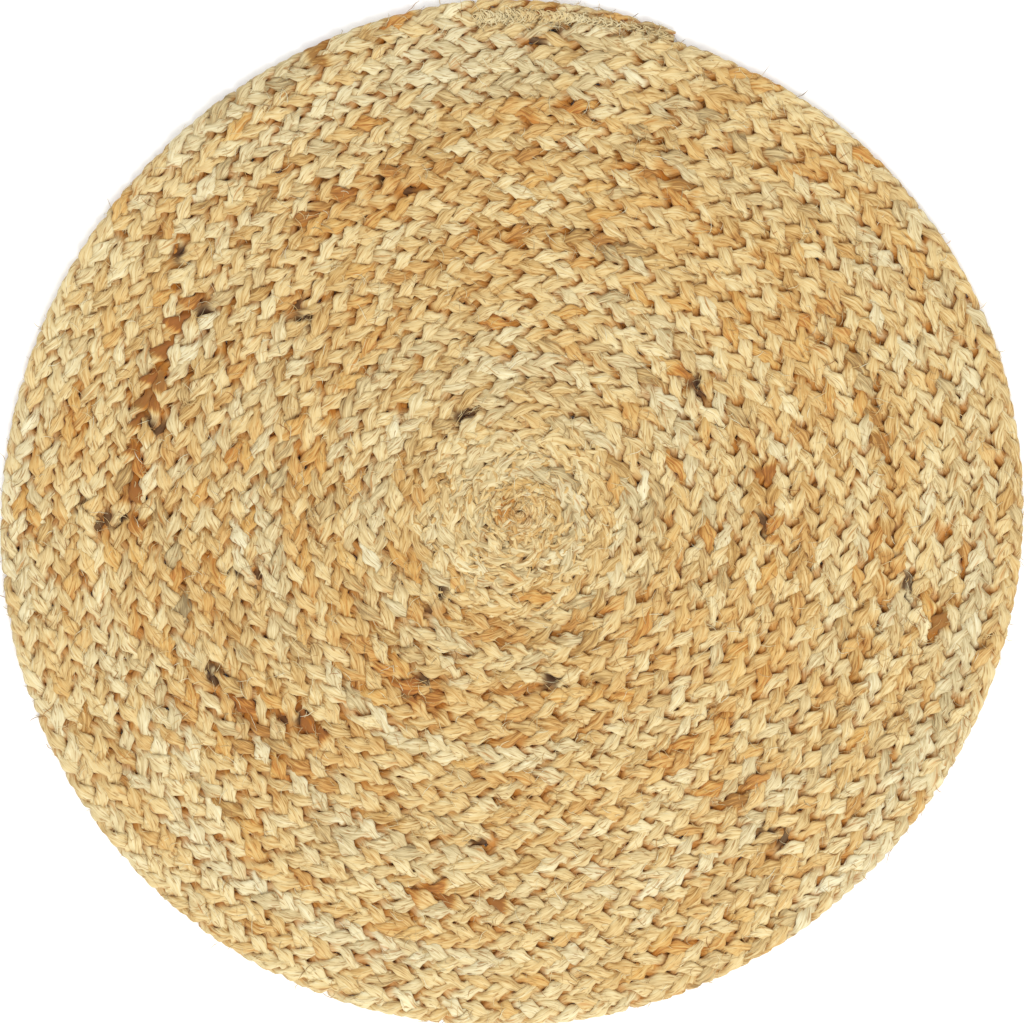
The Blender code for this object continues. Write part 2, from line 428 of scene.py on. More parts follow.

# %% [markdown]
# ## Colour along a strand
#
# No two bundles of jute have quite the same colour, the rim and the worn middle have faded
# greyer, and some stretches are stained brown. A painted picture could hold all that, but it
# changes slowly, so each point of the mesh carries four values instead, which the material
# reads: tone, warmth, painted shade in crevices and painted dark shade in hollows.

# %% Stained stretches
# Each has its radius in mm and its first angle in degrees, then how many degrees it runs on
# clockwise, and how strong the stain is.
STAINS = (
    (227, 183, 40, 1.0), (219, 32, 76, 0.5), (209, -42, 24, 0.5), (225, 269, 17, 0.9),
    (205, 60, 28, 0.5), (219, 76, 16, 0.5), (120, 252, 28, 0.8), (148, 13, 20, 0.7),
    (127, 156, 18, 0.5), (299, 90, 5, 1.3), (131, 45, 12, 0.6), (173, 230, 15, 0.8),
    (255, -9, 8, 0.7), (296, 115, 11, 0.7), (72, 318, 70, 0.35), (195, 250, 45, 0.35),
    (212, 240, 22, 0.4), (240, 102, 22, 0.4), (168, 100, 30, 0.3), (215, 128, 20, 0.5),
)
STAIN_REACH = 6 * MM
STAIN_EDGE = 3 * MM


def stain_at(points):
    """How stained each section of a strand is: most where its middle lies on a stained line."""
    middle = points.mean(axis=1) - (CENTRE[0], CENTRE[1], 0)
    radius = np.hypot(middle[:, 0], middle[:, 1])
    angle = np.arctan2(middle[:, 1], middle[:, 0])
    stain = np.zeros(len(points))
    for line_radius, first, sweep, strength in STAINS:
        passed = (math.radians(first) - angle) % TAU
        aside = radius - line_radius * MM - PITCH * passed / TAU
        beside = eased((STAIN_REACH - np.abs(aside)) / STAIN_EDGE)
        into = passed * line_radius * MM / STAIN_REACH
        left = (math.radians(sweep) - passed) * line_radius * MM / STAIN_REACH
        stain = np.maximum(stain, strength * beside * eased(into) * eased(left))
    return stain


print("stained stretches:", len(STAINS))


# %% Colour that is laid into the points
BASE_TONE = 0.458
STAIN_TONE = 0.64
# Painted shade: heights, as shares of the thickness, where crevice and hollow shade begin.
CREVICE_TOP, CREVICE_RANGE = 0.82, 0.38
HOLLOW_TOP, HOLLOW_RANGE = 0.88, 0.22
UNDERSIDE, UNDERSIDE_RANGE = 0.02, 0.22


def strand_colour(strand, places, phase, turn, points, slits, outside):
    """Tone, warmth, painted crevice shade and painted hollow shade, for each point of a strand."""
    radius = START_RADIUS + PITCH * turn
    pale_middle = eased((130 * MM - radius) / (70 * MM))
    pale_rim = eased((radius - 215 * MM) / (25 * MM))
    zone = 0.07 * pale_rim - 0.02 * pale_middle
    batch = 0.12 * wander(71, places, 240 * MM) + 0.09 * wander(74 + strand, places, 80 * MM)
    own = 0.19 * per_float(77 + strand, phase, 2.5)
    columns = 0.14 * wander(81 + strand, places, 25 * MM, SIDES)
    stain = stain_at(points) * eased(0.80 + 0.9 * per_float(61 + strand, phase, 2.5))
    tone = BASE_TONE + (zone + batch + own - STAIN_TONE * stain)[:, None] + columns
    warm = 0.06 - 0.25 * pale_middle - 0.25 * pale_rim
    warm = warm + 0.55 * wander(84, places, 170 * MM) + 0.40 * wander(91 + strand, places, 70 * MM)
    own_warm = per_float(87 + strand, phase, 2.5)
    hottest = (1.8 - 0.9 * pale_rim) * np.maximum(own_warm - 0.5, 0)
    warm = warm + 0.40 * own_warm + hottest + 1.1 * stain
    # Painted shade on points low between floats; less in the middle, at the rim and by the floor.
    height = points[:, :, 2] / PLAIT_THICKNESS
    deep = eased((CREVICE_TOP - height) / CREVICE_RANGE) * (1 - 0.35 * pale_middle)[:, None]
    deep = deep * eased((height - UNDERSIDE) / UNDERSIDE_RANGE) * (1 - 0.85 * outside)
    # Painted shade in the slits of the ridges.
    deep = np.maximum(deep, 0.8 * slits)
    # Painted shade, almost black, on low points in and around each hollow and on sunk floats.
    sunk = sunk_float(strand, places, phase)[:, None]
    dark = np.maximum(hollow_share(points), 0.9 * sunk)
    dark = dark * eased((HOLLOW_TOP - height) / HOLLOW_RANGE)
    return tone, warm[:, None] + 0 * tone, deep, dark


print("tone of a plain float:", BASE_TONE, " of a fully stained one:", round(BASE_TONE - STAIN_TONE, 2))


# %% Shape of one length
# The limits keep a strand out of the next turn: what would pass a limit is pressed into the
# room beyond it.
END_TAPER = 9 * MM
END_SIZE = 0.35
END_OVERLAP = 4 * MM
TWIST = 1.0
LOWEST_POINT = 0.15 * MM
SEAM_LIMIT, SEAM_ROOM = 7.2 * MM, 1.8 * MM
RIM_LIMIT, RIM_ROOM = 6.2 * MM, 1.9 * MM


def strand_length(strand, start, end):
    """Points, in rings, and the values that its colour takes from them."""
    start = start - END_OVERLAP * (start > 0)
    end = end + END_OVERLAP * (end < LENGTH)
    count = int((end - start) / PERIOD * SECTIONS_PER_PERIOD) + 1
    places = np.linspace(start, end, count)
    phase = strand_phase(strand, places)
    turn = turn_at(places)
    around = (np.arange(SIDES) * TAU / SIDES - math.pi / 2)[None, :]
    around = around + TWIST * wander(94 + strand, places, 40 * MM)[:, None]
    across, height = strand_path(strand, places, phase)
    out, slits = ridges(strand, places)
    reach = strand_section(strand, places, phase, around) + out
    nearest_end = np.minimum(places - start, end - places)
    reach = reach * (END_SIZE + (1 - END_SIZE) * eased(nearest_end / END_TAPER))[:, None]
    across = across[:, None] + reach * np.cos(around)
    at_rim = (across > 0) & (turn[:, None] > TURNS - 1)
    limit = np.where(at_rim, RIM_LIMIT, SEAM_LIMIT)
    room = np.where(at_rim, RIM_ROOM, SEAM_ROOM)
    beyond = np.maximum(np.abs(across) - limit, 0)
    pressed = limit + room * (1 - np.exp(-beyond / room))
    across = np.where(beyond > 0, np.sign(across) * pressed, across)
    height = np.maximum(height[:, None] + reach * np.sin(around), LOWEST_POINT)
    points = plait_point(turn[:, None] + 0 * across, across, height)
    outside = at_rim * eased((across - 3 * MM) / (3 * MM))
    return points, places, strand_colour(strand, places, phase, turn, points, slits, outside)


print("points in each period of a strand:", SECTIONS_PER_PERIOD * SIDES)

# %% [markdown]
# ## Shader maths as Python
#
# A material is a small program made of nodes. Wiring it by hand takes many lines for one
# sum, so a small class holds a socket and answers to +, - and *. Every expression then adds
# its own Math nodes, and one method adds any other kind of node.

# %% A socket that can be calculated with
class Sock:
    """An output socket of a node, or of the material's first node."""

    def __init__(self, socket):
        self.socket = socket
        self.tree = socket.id_data

    def node(self, kind, settings, inputs, output=0):
        """Add a node: its settings first, then values or links for its sockets."""
        node = self.tree.nodes.new(kind)
        for key, value in settings.items():
            if key == "stops":
                fill_ramp(node.color_ramp, value)
            else:
                setattr(node, key, value)
        for key, value in inputs.items():
            if isinstance(value, Sock):
                self.tree.links.new(value.socket, node.inputs[key])
            else:
                node.inputs[key].default_value = value
        return Sock(node.outputs[output])

    def maths(self, operation, *values):
        return self.node("ShaderNodeMath", {"operation": operation}, dict(enumerate(values)))

    def __add__(self, other):
        return self.maths("ADD", self, other)

    def __sub__(self, other):
        return self.maths("SUBTRACT", self, other)

    def __rsub__(self, other):
        return self.maths("SUBTRACT", other, self)

    def __mul__(self, other):
        return self.maths("MULTIPLY", self, other)

    __radd__ = __add__
    __rmul__ = __mul__

    def eased(self, low, high):
        """0 below low, 1 above high, and smooth in between."""
        limits = {"Value": self, "From Min": low, "From Max": high}
        return self.node("ShaderNodeMapRange", {"interpolation_type": "SMOOTHSTEP"}, limits)

    def mix(self, first, second):
        """The first colour where this is 0, the second where it is 1."""
        sockets = {0: self, 6: first, 7: second}
        return self.node("ShaderNodeMix", {"data_type": "RGBA"}, sockets, 2)


def fill_ramp(ramp, stops):
    """Give a new colour ramp its stops, as pairs of a position and a colour."""
    for position, colour in stops[2:]:
        ramp.elements.new(position)
    for element, (position, colour) in zip(ramp.elements, sorted(stops)):
        element.position = position
        element.color = colour


print("a Sock can:", [key for key in vars(Sock) if not key.startswith("_")])


# %% Values and streaks for a material
COLOUR_VALUES = ("tone", "warm", "deep", "dark")


def attribute(start, name):
    """A value that was laid into the mesh's points."""
    return start.node("ShaderNodeAttribute", {"attribute_name": name}, {}, 2)


def streaks(start, length, width, detail):
    """Noise drawn out along the fibre map, with streaks of a real length and width."""
    fibre = start.node("ShaderNodeUVMap", {"uv_map": "fibre"}, {})
    scale = (1 / length, 1 / width, 1.0)
    stretched = start.node("ShaderNodeVectorMath", {"operation": "MULTIPLY"}, {0: fibre, 1: scale})
    sockets = {"Vector": stretched, "Scale": 1.0, "Detail": detail}
    return start.node("ShaderNodeTexNoise", {"noise_dimensions": "2D"}, sockets)


print("values that a material reads:", COLOUR_VALUES)

# %% [markdown]
# ## Jute
#
# Jute is a bast fibre, from straw yellow to brown, and a strand shows it as streaks along
# its length, with slits between them that are painted dark as shade. A picture of fibre would
# repeat and would smear where the strand bends. Noise that is stretched along the fibre map
# never repeats. It picks from three rows of colour, plain, hot and grey, and the values in the
# points shift the choice. Painted shade for crevices, slits and hollows is mixed in last,
# because light hardly gets out of them.

# %% Colours of jute
PLAIN_STOPS = [
    (0.0, (0.258, 0.131, 0.031, 1)), (0.2, (0.432, 0.261, 0.081, 1)),
    (0.4, (0.541, 0.378, 0.156, 1)), (0.6, (0.598, 0.470, 0.231, 1)),
    (0.8, (0.636, 0.535, 0.301, 1)), (1.0, (0.681, 0.609, 0.379, 1)),
]
HOT_STOPS = [
    (0.0, (0.240, 0.082, 0.013, 1)), (0.2, (0.400, 0.160, 0.029, 1)),
    (0.45, (0.505, 0.290, 0.080, 1)), (0.72, (0.575, 0.395, 0.152, 1)),
    (1.0, (0.640, 0.500, 0.250, 1)),
]
GREY_STOPS = [
    (0.0, (0.216, 0.151, 0.067, 1)), (0.3, (0.432, 0.337, 0.168, 1)),
    (0.55, (0.557, 0.463, 0.262, 1)), (0.8, (0.619, 0.554, 0.353, 1)),
    (1.0, (0.673, 0.632, 0.447, 1)),
]
# Painted shade: the colours of crevices, slits and hollows, and how much of each is mixed in.
CREVICE_SHADE = (0.400, 0.134, 0.006, 1)
SLIT_SHADE = (0.261, 0.104, 0.010, 1)
HOLLOW_SHADE = (0.045, 0.017, 0.005, 1)
CREVICE_SHARE = 0.88
SLIT_SHARE = 0.62
HOLLOW_SHARE = 0.96
print("stops in the three rows:", len(PLAIN_STOPS), len(HOT_STOPS), len(GREY_STOPS))

# %% The jute material
SLIT_EDGE = 0.07
BUMP_DISTANCE = 0.25 * MM


def jute(name, splits=0.63):
    """Jute: streaks of pale, golden and brown fibre, with darker, warmer painted shade in crevices."""
    material = bpy.data.materials.new(name)
    material.use_nodes = True
    shader = material.node_tree.nodes["Principled BSDF"]
    start = Sock(shader.outputs[0])
    tone, warm, deep, dark = [attribute(start, key) for key in COLOUR_VALUES]
    broad = streaks(start, 13 * MM, 1.4 * MM, 3.0)
    fine = streaks(start, 8 * MM, 0.42 * MM, 2.0)
    thin = streaks(start, 7 * MM, 0.95 * MM, 1.0)
    slit = thin.eased(splits, splits + SLIT_EDGE)
    # Painted shade also makes the jute a little darker in crevices.
    lightness = tone + (broad - 0.5) * 0.9 + (fine - 0.5) * 0.6 - deep * 0.08
    plain = start.node("ShaderNodeValToRGB", {"stops": PLAIN_STOPS}, {0: lightness})
    hot = start.node("ShaderNodeValToRGB", {"stops": HOT_STOPS}, {0: lightness})
    grey = start.node("ShaderNodeValToRGB", {"stops": GREY_STOPS}, {0: lightness})
    shade = warm + (broad - 0.5) * 0.6
    toned = shade.eased(-0.1, 1.1).mix((0.1 - shade).eased(0.0, 0.9).mix(plain, grey), hot)
    # Painted shade is mixed over the jute last: crevices, then slits, then hollows.
    shaded = (deep * CREVICE_SHARE).mix(toned, CREVICE_SHADE)
    slitted = (slit * SLIT_SHARE).mix(shaded, SLIT_SHADE)
    colour = (dark * HOLLOW_SHARE).mix(slitted, HOLLOW_SHADE)
    material.node_tree.links.new(colour.socket, shader.inputs["Base Color"])
    rough = 0.6 + broad * 0.25
    material.node_tree.links.new(rough.socket, shader.inputs["Roughness"])
    relief = broad * 0.6 + fine * 0.4 - slit * 0.8
    sockets = {"Strength": 0.6, "Distance": BUMP_DISTANCE, "Height": relief}
    bump = start.node("ShaderNodeBump", {}, sockets)
    material.node_tree.links.new(bump.socket, shader.inputs["Normal"])
    shader.inputs["Specular IOR Level"].default_value = 0.25
    shader.inputs["Sheen Weight"].default_value = 0.1
    return material


STRAND_NAMES = "abc"
strand_jute = {letter: jute("jute_" + letter) for letter in STRAND_NAMES}
print("jute materials:", [material.name for material in strand_jute.values()])

# %% [markdown]
# ## The strands
#
# Now the 36 lengths are made. Threads and fibres are laid on them later and have to rest on
# whatever is below. A ray could be cast down from every point, but there are many thousands,
# so each finished piece notes its highest points in a grid of small cells instead, and what
# is laid on top reads its height from there.

# %% Height of the finished surface
SURFACE_CELL = 1.6 * MM
SURFACE_CELLS = 400


def surface_cell(x, y):
    """Row and column of the cell below each point."""
    row = np.clip(x / SURFACE_CELL + SURFACE_CELLS / 2, 1, SURFACE_CELLS - 2).astype(int)
    column = np.clip(y / SURFACE_CELL + SURFACE_CELLS / 2, 1, SURFACE_CELLS - 2).astype(int)
    return row, column


def raise_surface(heights, points):
    """Note the highest point of a piece over each cell."""
    np.maximum.at(heights, surface_cell(points[:, 0], points[:, 1]), points[:, 2])


def laid_on(heights, x, y):
    """Height at which a limp thread rests on what is below it, bridging narrow gaps."""
    below = heights[surface_cell(x, y)]
    before = np.roll(below, 1, axis=1)
    before[:, 0] = below[:, 0]
    after = np.roll(below, -1, axis=1)
    after[:, -1] = below[:, -1]
    return np.maximum(below, (before + after) / 2)


print("side of the height grid, mm:", round(SURFACE_CELL * SURFACE_CELLS / MM))

# %% Make the strands
GIRTH = 21 * MM
MAP_ROWS = 8
surface = np.zeros((SURFACE_CELLS, SURFACE_CELLS))
for strand, letter in enumerate(STRAND_NAMES):
    joins = strand_joins(strand)
    for number in range(LENGTHS_PER_STRAND):
        points, places, colours = strand_length(strand, joins[number], joins[number + 1])
        rings = len(points)
        name = f"strand_{letter}_{number + 1:02d}"
        fibre, stored = tube_maps(rings, SIDES, places, GIRTH, MAP_ROWS)
        values = dict(zip(COLOUR_VALUES, colours))
        maps = {"fibre": fibre, "OFBake": stored}
        faces = ring_faces(rings, SIDES)
        piece = mesh_piece(name, points.reshape(-1, 3), faces, values, maps, strand_jute[letter])
        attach(piece, "root")
        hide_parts(name)
        raise_surface(surface, points.reshape(-1, 3))
print("strand pieces:", LENGTHS_PER_STRAND * len(STRAND_NAMES), " rings in the last:", rings)

# %% [markdown]
# ## Threads
#
# The lacing, the stitches and the stray fibres are all thin tubes, thousands of them. Hair
# particles would need a system for each and can't be exported as they look. So one function
# sweeps rings along many paths at once and joins them into one mesh. It can flatten them
# too, which suits the soft bundles in the middle of the rug.

# %% Many tubes in one mesh
THREAD_FLOOR = 0.1 * MM
MAP_SHIFT = 0.037


def threads(name, paths, wide, high, sides, colours, material, rough=0.0):
    """Tubes along paths, which are threads by points by 3; wide and high are half sizes."""
    count, length = paths.shape[:2]
    bumps = np.random.default_rng(length).normal(0, rough, (count, length + 2, sides))
    bumps = 1 + (bumps[:, :-2] + 2 * bumps[:, 1:-1] + bumps[:, 2:])[..., None] / 2.5
    ahead = np.gradient(paths, axis=1)
    ahead = ahead / np.linalg.norm(ahead, axis=2, keepdims=True)
    side = np.cross(ahead, (0.0, 0.0, 1.0))
    side = side / np.linalg.norm(side, axis=2, keepdims=True)
    up = np.cross(side, ahead)
    around = (np.arange(sides) * TAU / sides - math.pi / 2)[:, None]
    outward = side[:, :, None] * np.cos(around) * wide[:, :, None, None]
    outward = outward + up[:, :, None] * np.sin(around) * high[:, :, None, None]
    points = paths[:, :, None] + outward * bumps
    points[..., 2] = np.maximum(points[..., 2], THREAD_FLOOR)
    offsets = np.arange(count)[:, None, None] * length * sides
    faces = (ring_faces(length, sides) + offsets).reshape(-1, 4)
    run = np.linalg.norm(np.diff(paths[0], axis=0), axis=1).sum()
    rows = MAP_ROWS if count == 1 else 1
    fibre, stored = tube_maps(length, sides, np.linspace(0, run, length), TAU * wide.mean(), rows)
    across = math.ceil(math.sqrt(count))
    cell = np.stack([np.arange(count) % across, np.arange(count) // across], -1)[:, None, None]
    maps = {"fibre": fibre + MAP_SHIFT * np.arange(count)[:, None, None, None]}
    maps["OFBake"] = (stored + cell) / across
    values = {}
    for key, value in zip(COLOUR_VALUES, colours):
        values[key] = np.broadcast_to(value, (count, length))[:, :, None] + np.zeros(sides)
    return mesh_piece(name, points.reshape(-1, 3), faces, values, maps, material)


def tapered(count, length, least=0.4):
    """Shares of the full size for threads that are thinner towards both ends."""
    share = np.linspace(0, 1, length)
    return np.broadcast_to(least + (1 - least) * np.sin(share * math.pi), (count, length))


print("a thread's size from end to end:", np.round(tapered(1, 5)[0], 2))

# %% [markdown]
# ## Lacing
#
# The plait is sewn to itself as it is coiled. The thread goes from one turn into the next
# and back, deep in the seam, and rises a little here and there. Down there it is pressed
# into the jute that it draws together. So each of its six lengths is a soft flat band, wider
# than the thread alone, which stands for both, closes the seam and carries painted crevice
# shade. A curve object would do as well, but one mesh function serves every thread.

# %% Sew the lacing
LACING_LENGTHS = 6
LACING_WAVE = 9 * MM
LACING_REACH = 1.5 * MM
LACING_WIDE = 2.6 * MM
LACING_HIGH = 0.5 * MM
LACING_STEP = 1.2 * MM
LACING_SIDES = 8
lacing_thread = jute("lacing_thread")
first_place, last_place = length_to(1 / 12), length_to(TURNS - 1)
count = int((last_place - first_place) / LACING_LENGTHS / LACING_STEP)
for number in range(LACING_LENGTHS):
    share = np.array([number, number + 1])
    ends = first_place + (last_place - first_place) * share / LACING_LENGTHS
    places = np.linspace(*ends, count)
    wave = TAU * places / LACING_WAVE + 1.5 * wander(101, places, 40 * MM)
    across = PITCH / 2 + LACING_REACH * np.sin(wave)
    shown = np.clip(wander(102, places, 60 * MM), -0.5, 1)
    height = PLAIT_THICKNESS * (0.30 + 0.08 * np.cos(2 * wave) + 0.12 * shown)
    path = np.stack([*coil_point(turn_at(places), across), height], -1)[None]
    # Painted shade: the band takes 0.8 of the crevice colour, as it lies low in the seam.
    tones = (0.42 + 0.2 * wander(103, places, 30 * MM)[None], 0.5, 0.8, 0.0)
    wide = LACING_WIDE * (1 + 0.3 * wander(104, places, 20 * MM)[None])
    high = np.full((1, count), LACING_HIGH)
    name = f"lacing_thread_{number + 1}"
    piece = threads(name, path, wide, high, LACING_SIDES, tones, lacing_thread)
    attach(piece, "root")
    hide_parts(name)
print("plait that is laced, m:", round(last_place - first_place, 1))

# %% [markdown]
# ## The middle
#
# The plait has to start somewhere. Its three strands are turned in, curled up and pressed
# flat, which leaves a small rosette of soft bundles without any pattern of crossings. Each
# bundle is one flattened tube along part of a circle, its ends pushed under its neighbours.

# %% Curl up the first end
BUNDLES = (
    # radius mm, first angle, sweep, half width mm, top mm, tone, warm
    (9.5, 0, 200, 5.8, 6.6, 0.45, 0.4), (9.5, 170, 210, 5.8, 6.8, 0.45, 0.4),
    (3.0, 60, 330, 4.6, 6.8, 0.45, 0.4), (12.5, 300, 80, 5.0, 6.4, 0.45, 0.4),
    (12.0, 222, 105, 2.3, 8.7, 0.22, 1.2), (12.2, 120, 110, 2.6, 8.9, 0.55, 0.3),
    (11.8, 12, 150, 2.6, 8.5, 0.58, -0.1), (8.2, 240, 150, 2.3, 9.2, 0.34, 0.9),
    (8.0, 100, 120, 2.2, 9.4, 0.56, 0.1), (8.0, 340, 125, 2.4, 9.1, 0.60, -0.2),
    (4.4, 150, 170, 2.0, 9.8, 0.55, 0.2), (4.2, 330, 180, 2.1, 9.7, 0.44, 0.5),
    (1.5, 30, 210, 1.8, 10.0, 0.56, 0.0),
)
BUNDLE_POINTS = 36
BUNDLE_SIDES = 16
BUNDLE_FLATNESS = 0.55
BUNDLE_ROUGHNESS = 0.14
ROSETTE = (CENTRE[0] + 0.6 * MM, CENTRE[1] + 2.4 * MM)
rng = np.random.default_rng(201)
share = np.linspace(0, 1, BUNDLE_POINTS)
paths, wide, tones, warms = [], [], [], []
for radius, angle, sweep, half, top, tone, warm in BUNDLES:
    turning = np.radians(angle - sweep * share)
    wobble = 0.5 * np.sin(share * 9 + rng.uniform(0, 6)) + 1.2 * (share - 0.5)
    reach = (radius + wobble) * MM
    dip = np.sin(share * math.pi) ** 0.4
    height = (top - 1.1 - 2.2 * (1 - dip)) * MM
    x = ROSETTE[0] + reach * np.cos(turning)
    y = ROSETTE[1] + reach * np.sin(turning)
    paths.append(np.stack([x, y, height], -1))
    swelling = 1 + 0.12 * np.sin(share * 14 + rng.uniform(0, 6))
    wide.append(half * MM * (0.35 + 0.65 * dip) * swelling)
    tones.append(tone + rng.normal(0, 0.04, BUNDLE_POINTS))
    warms.append(np.full(BUNDLE_POINTS, warm))
paths, wide = np.array(paths), np.array(wide)
# Painted shade: a little all along each bundle, most at its ends, which go under the neighbours.
deep = 0.12 + 0.6 * (1 - np.sin(share * math.pi) ** 0.5)
colours = (np.array(tones), np.array(warms), deep, 0.0)
high = wide * BUNDLE_FLATNESS
middle_jute = jute("middle_jute", 0.53)
piece = threads("centre_knot", paths, wide, high, BUNDLE_SIDES, colours, middle_jute, BUNDLE_ROUGHNESS)
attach(piece, "root")
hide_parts("centre_knot")
knot_points = np.empty(len(piece.data.vertices) * 3)
piece.data.vertices.foreach_get("co", knot_points)
raise_surface(surface, knot_points.reshape(-1, 3))
print("bundles in the middle:", len(BUNDLES))

# %% [markdown]
# ## Slivers around the middle
#
# The first turns were wound tightly and rubbed, so their floats have come apart into short
# flat slivers of fibre that hide the crossings. Each one is a small flattened tube laid on
# the strands below it, in roughly the direction of the plait.

# %% Lines that lie on the surface
def curled_paths(seed, x, y, heading, lengths, points, spring):
    """Curling lines on the surface, from given starts and headings."""
    rng = np.random.default_rng(seed)
    count = len(x)
    step = (lengths / points)[:, None]
    bend = rng.normal(0, 0.10, (count, 1)) + rng.normal(0, 0.16, (count, points))
    direction = heading[:, None] + np.cumsum(bend, axis=1)
    across_x = x[:, None] + np.cumsum(step * np.cos(direction), axis=1)
    across_y = y[:, None] + np.cumsum(step * np.sin(direction), axis=1)
    share = np.linspace(0, 1, points)
    lift = spring * rng.uniform(0, 1, (count, 1)) ** 3 * np.sin(share * math.pi)
    height = laid_on(surface, across_x, across_y) + lift
    return np.stack([across_x, across_y, height], -1)


def plait_heading(turn):
    """Angle in which the plait runs, seen from above."""
    return TAIL_ANGLE + (TURNS - turn) * TAU - math.pi / 2


print("heading at the tip of the tail, degrees:", round(math.degrees(plait_heading(TURNS))))

# %% Lay the slivers
SLIVERS = 440
SLIVER_POINTS = 9
SLIVER_SIDES = 10
SLIVER_FLATNESS = 0.42
SLIVER_ROUGHNESS = 0.04
rng = np.random.default_rng(221)
sliver_radius = 11 * MM + 50 * MM * rng.uniform(0, 1, SLIVERS) ** 1.3
angle = rng.uniform(0, TAU, SLIVERS)
x = CENTRE[0] + sliver_radius * np.cos(angle)
y = CENTRE[1] + sliver_radius * np.sin(angle)
heading = angle - math.pi / 2 + rng.normal(0, 0.45, SLIVERS)
lengths = rng.uniform(5, 13, SLIVERS) * MM
paths = curled_paths(222, x, y, heading, lengths, SLIVER_POINTS, 0.0)
ends_down = 1 - np.sin(np.linspace(0, 1, SLIVER_POINTS) * math.pi) ** 0.5
paths[:, :, 2] = paths[:, :, 2] - (0.15 + 0.9 * ends_down) * MM
wide = tapered(SLIVERS, SLIVER_POINTS, 0.25) * rng.uniform(0.5, 1.5, (SLIVERS, 1)) * MM
high = wide * SLIVER_FLATNESS
tone = rng.normal(0.42, 0.09, (SLIVERS, 1))
# Painted shade where the ends of a sliver dip down.
colours = (tone, rng.normal(-0.05, 0.25, (SLIVERS, 1)), 0.5 * ends_down, 0.0)
jute_a = strand_jute["a"]
piece = threads("middle_slivers", paths, wide, high, SLIVER_SIDES, colours, jute_a, SLIVER_ROUGHNESS)
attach(piece, "root")
print("slivers:", SLIVERS)

# %% [markdown]
# ## The tail
#
# At its end the plait is flattened and narrowed, and sewn down with many small stitches that
# run to and fro. They leave a rough band, full of loops. A modelled loop that repeats would
# look like a machine's work. So the thread is three long zigzags with some chance in each
# stitch, laid on the surface that is already there.

# %% Stitch down the tail
STITCH_REACH = 4.2 * MM
STITCH_ACROSS = -4.2 * MM
STITCH_HALF = 0.33 * MM
STITCH_SIDES = 6
POINTS_PER_STITCH = 10
STITCHES = 40
FLAT_PART, FLAT_PART_REACH = 0.80, 0.09
FLAT_SPACING = 3.2
tail_start = length_to(TURNS - TAIL_TURNS)


def stitch_path(seed):
    """One run of stitches: close at first, far apart on the flat part, close at the tip."""
    rng = np.random.default_rng(seed)
    from_flat = np.abs(np.arange(STITCHES) / STITCHES - FLAT_PART)
    spacing = np.where(from_flat < FLAT_PART_REACH, FLAT_SPACING, 1.0)
    ends = np.concatenate([[0], np.cumsum(spacing * rng.uniform(0.6, 1.4, STITCHES))])
    ends = tail_start - 1 * MM + (LENGTH - tail_start) * ends / ends[-1]
    index = np.linspace(0, STITCHES, STITCHES * POINTS_PER_STITCH + 1)
    knots = np.arange(STITCHES + 1)
    places = np.interp(index, knots, ends)
    reach = STITCH_REACH * np.interp(index, knots, rng.uniform(0.45, 1.15, STITCHES + 1))
    shift = 1.3 * MM * np.interp(index, knots, rng.normal(0, 0.8, STITCHES + 1))
    wave = TAU * index + np.interp(index, knots, rng.normal(0, 0.9, STITCHES + 1))
    places = np.clip(places + 1.5 * MM * np.sin(2 * wave + rng.uniform(0, 6)), 0, LENGTH)
    path = plait_point(turn_at(places), STITCH_ACROSS + shift + reach * np.sin(wave), 0 * wave)
    path[:, 2] = laid_on(surface, path[None, :, 0], path[None, :, 1])[0]
    path[:, 2] = path[:, 2] + (0.15 + 0.6 * np.abs(np.cos(wave))) * MM
    return path


paths = np.array([stitch_path(seed) for seed in (211, 212, 213)])
half = np.full(paths.shape[:2], STITCH_HALF)
tone = 0.74 + 0.15 * np.sin(np.arange(paths.shape[1]) / 37)
# A trace of painted crevice shade, 0.05, on the stitching thread.
colours = (tone, 0.15, 0.05, 0.0)
stitching_thread = jute("stitching_thread")
piece = threads("tail_stitching", paths, half, half, STITCH_SIDES, colours, stitching_thread)
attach(piece, "root")
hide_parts("tail_stitching")
print("stitches on the tail:", STITCHES * len(paths))

# %% [markdown]
# ## Stray fibres
#
# Jute is a coarse bast fibre and never lies quite still. Thin ends spring out of every
# strand, curl over the crossings and stand out at the rim. They are what makes the surface
# look like plant fibre and not like leather. Several thousand are laid at random, more of
# them on the hollows, in the middle, on the tail and at the rim, each curling its own way.

# %% Let fibres stray
FIBRES = 6000
FIBRE_POINTS = 10
FIBRE_SIDES = 4
SPRING = 1.8 * MM
strays = []
rng = np.random.default_rng(301)


def stray(seed, x, y, heading, shortest, longest):
    """Add fibres that start at these places, with a range of lengths in mm."""
    lengths = rng.uniform(shortest, longest, len(x)) * MM
    strays.append(curled_paths(seed, x, y, heading, lengths, FIBRE_POINTS, SPRING))


turn = turn_at(rng.uniform(0, LENGTH, FIBRES))
x, y = plait_point(turn, rng.uniform(-PITCH / 2, PITCH / 2, FIBRES), 0 * turn).T[:2]
stray(302, x, y, plait_heading(turn) + rng.normal(0, 0.75, FIBRES), 4, 13)
print("fibres all over the rug:", FIBRES)

